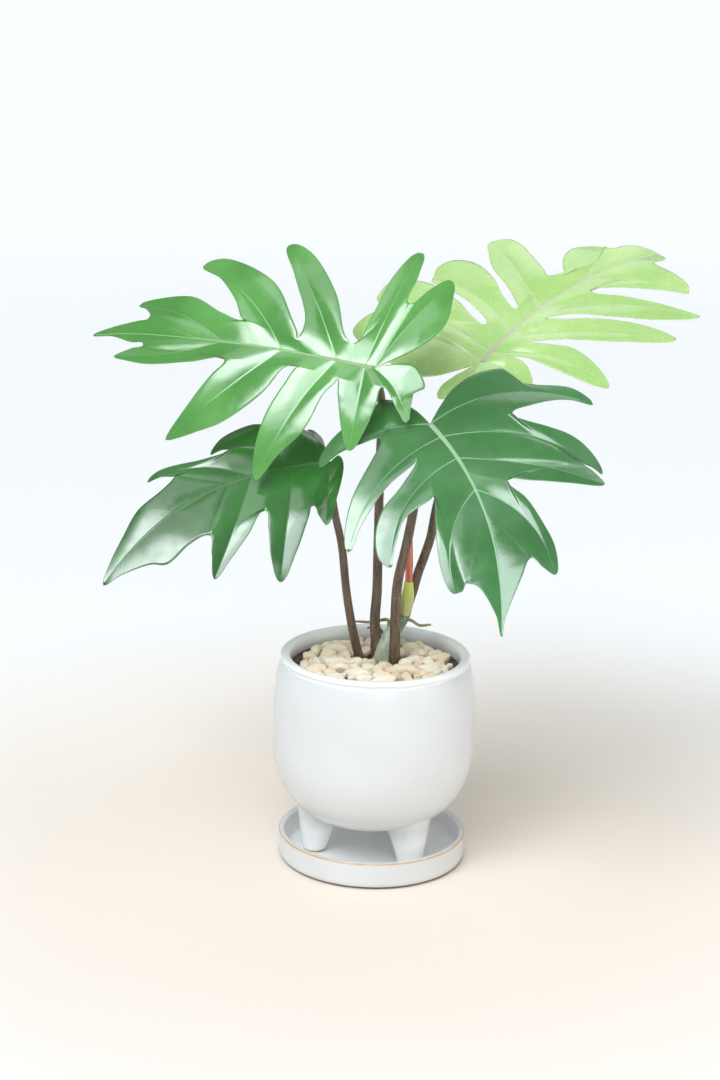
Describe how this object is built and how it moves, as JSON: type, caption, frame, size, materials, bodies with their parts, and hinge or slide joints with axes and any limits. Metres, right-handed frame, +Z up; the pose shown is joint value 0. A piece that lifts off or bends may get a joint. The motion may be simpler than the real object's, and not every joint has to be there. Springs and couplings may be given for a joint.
{
  "type": "potted philodendron mayoi house plant",
  "caption": "Potted philodendron with deeply cut pinnate leaves on long stalks, in a footed glazed pot with pebbles and a saucer.",
  "frame": {"origin": "centre of the saucer's flat underside, on the surface it stands on", "axes": "+Z up; -Y is the front that faces the viewer, +X the viewer's right"},
  "size_m": [0.4252, 0.3051, 0.4224],
  "materials": {
    "glaze": "glossy white glaze with a few fine specks",
    "soil": "loose, dark, matt potting mix",
    "pebble": "rough matt cream and beige pebbles",
    "stem": "grey-green, slightly rough, fine pale speckles",
    "leaf_stalk": "satin purple-brown with fine pale speckles",
    "sheath": "smooth yellow-green",
    "new_leaf": "smooth satin red-pink",
    "leaf_green": "glossy mid green with sunken veins",
    "leaf_blue_green": "glossy blue-green with a pale midrib",
    "leaf_dark": "glossy dark green",
    "leaf_young": "satin light lime green, pale underside"
  },
  "bodies": {
    "root": {"saucer": "glaze", "pot": "glaze", "soil": "soil", "pebbles": "pebble", "stem": "stem", "petiole_upper_left": "leaf_stalk", "petiole_front_right": "leaf_stalk", "petiole_lower_left": "leaf_stalk", "petiole_back_right": "leaf_stalk", "sheath": "sheath", "new_leaf": "new_leaf", "blade_upper_left": "leaf_green", "blade_front_right": "leaf_blue_green", "blade_lower_left": "leaf_dark", "blade_back_right": "leaf_young"}
  },
  "joints": []
}
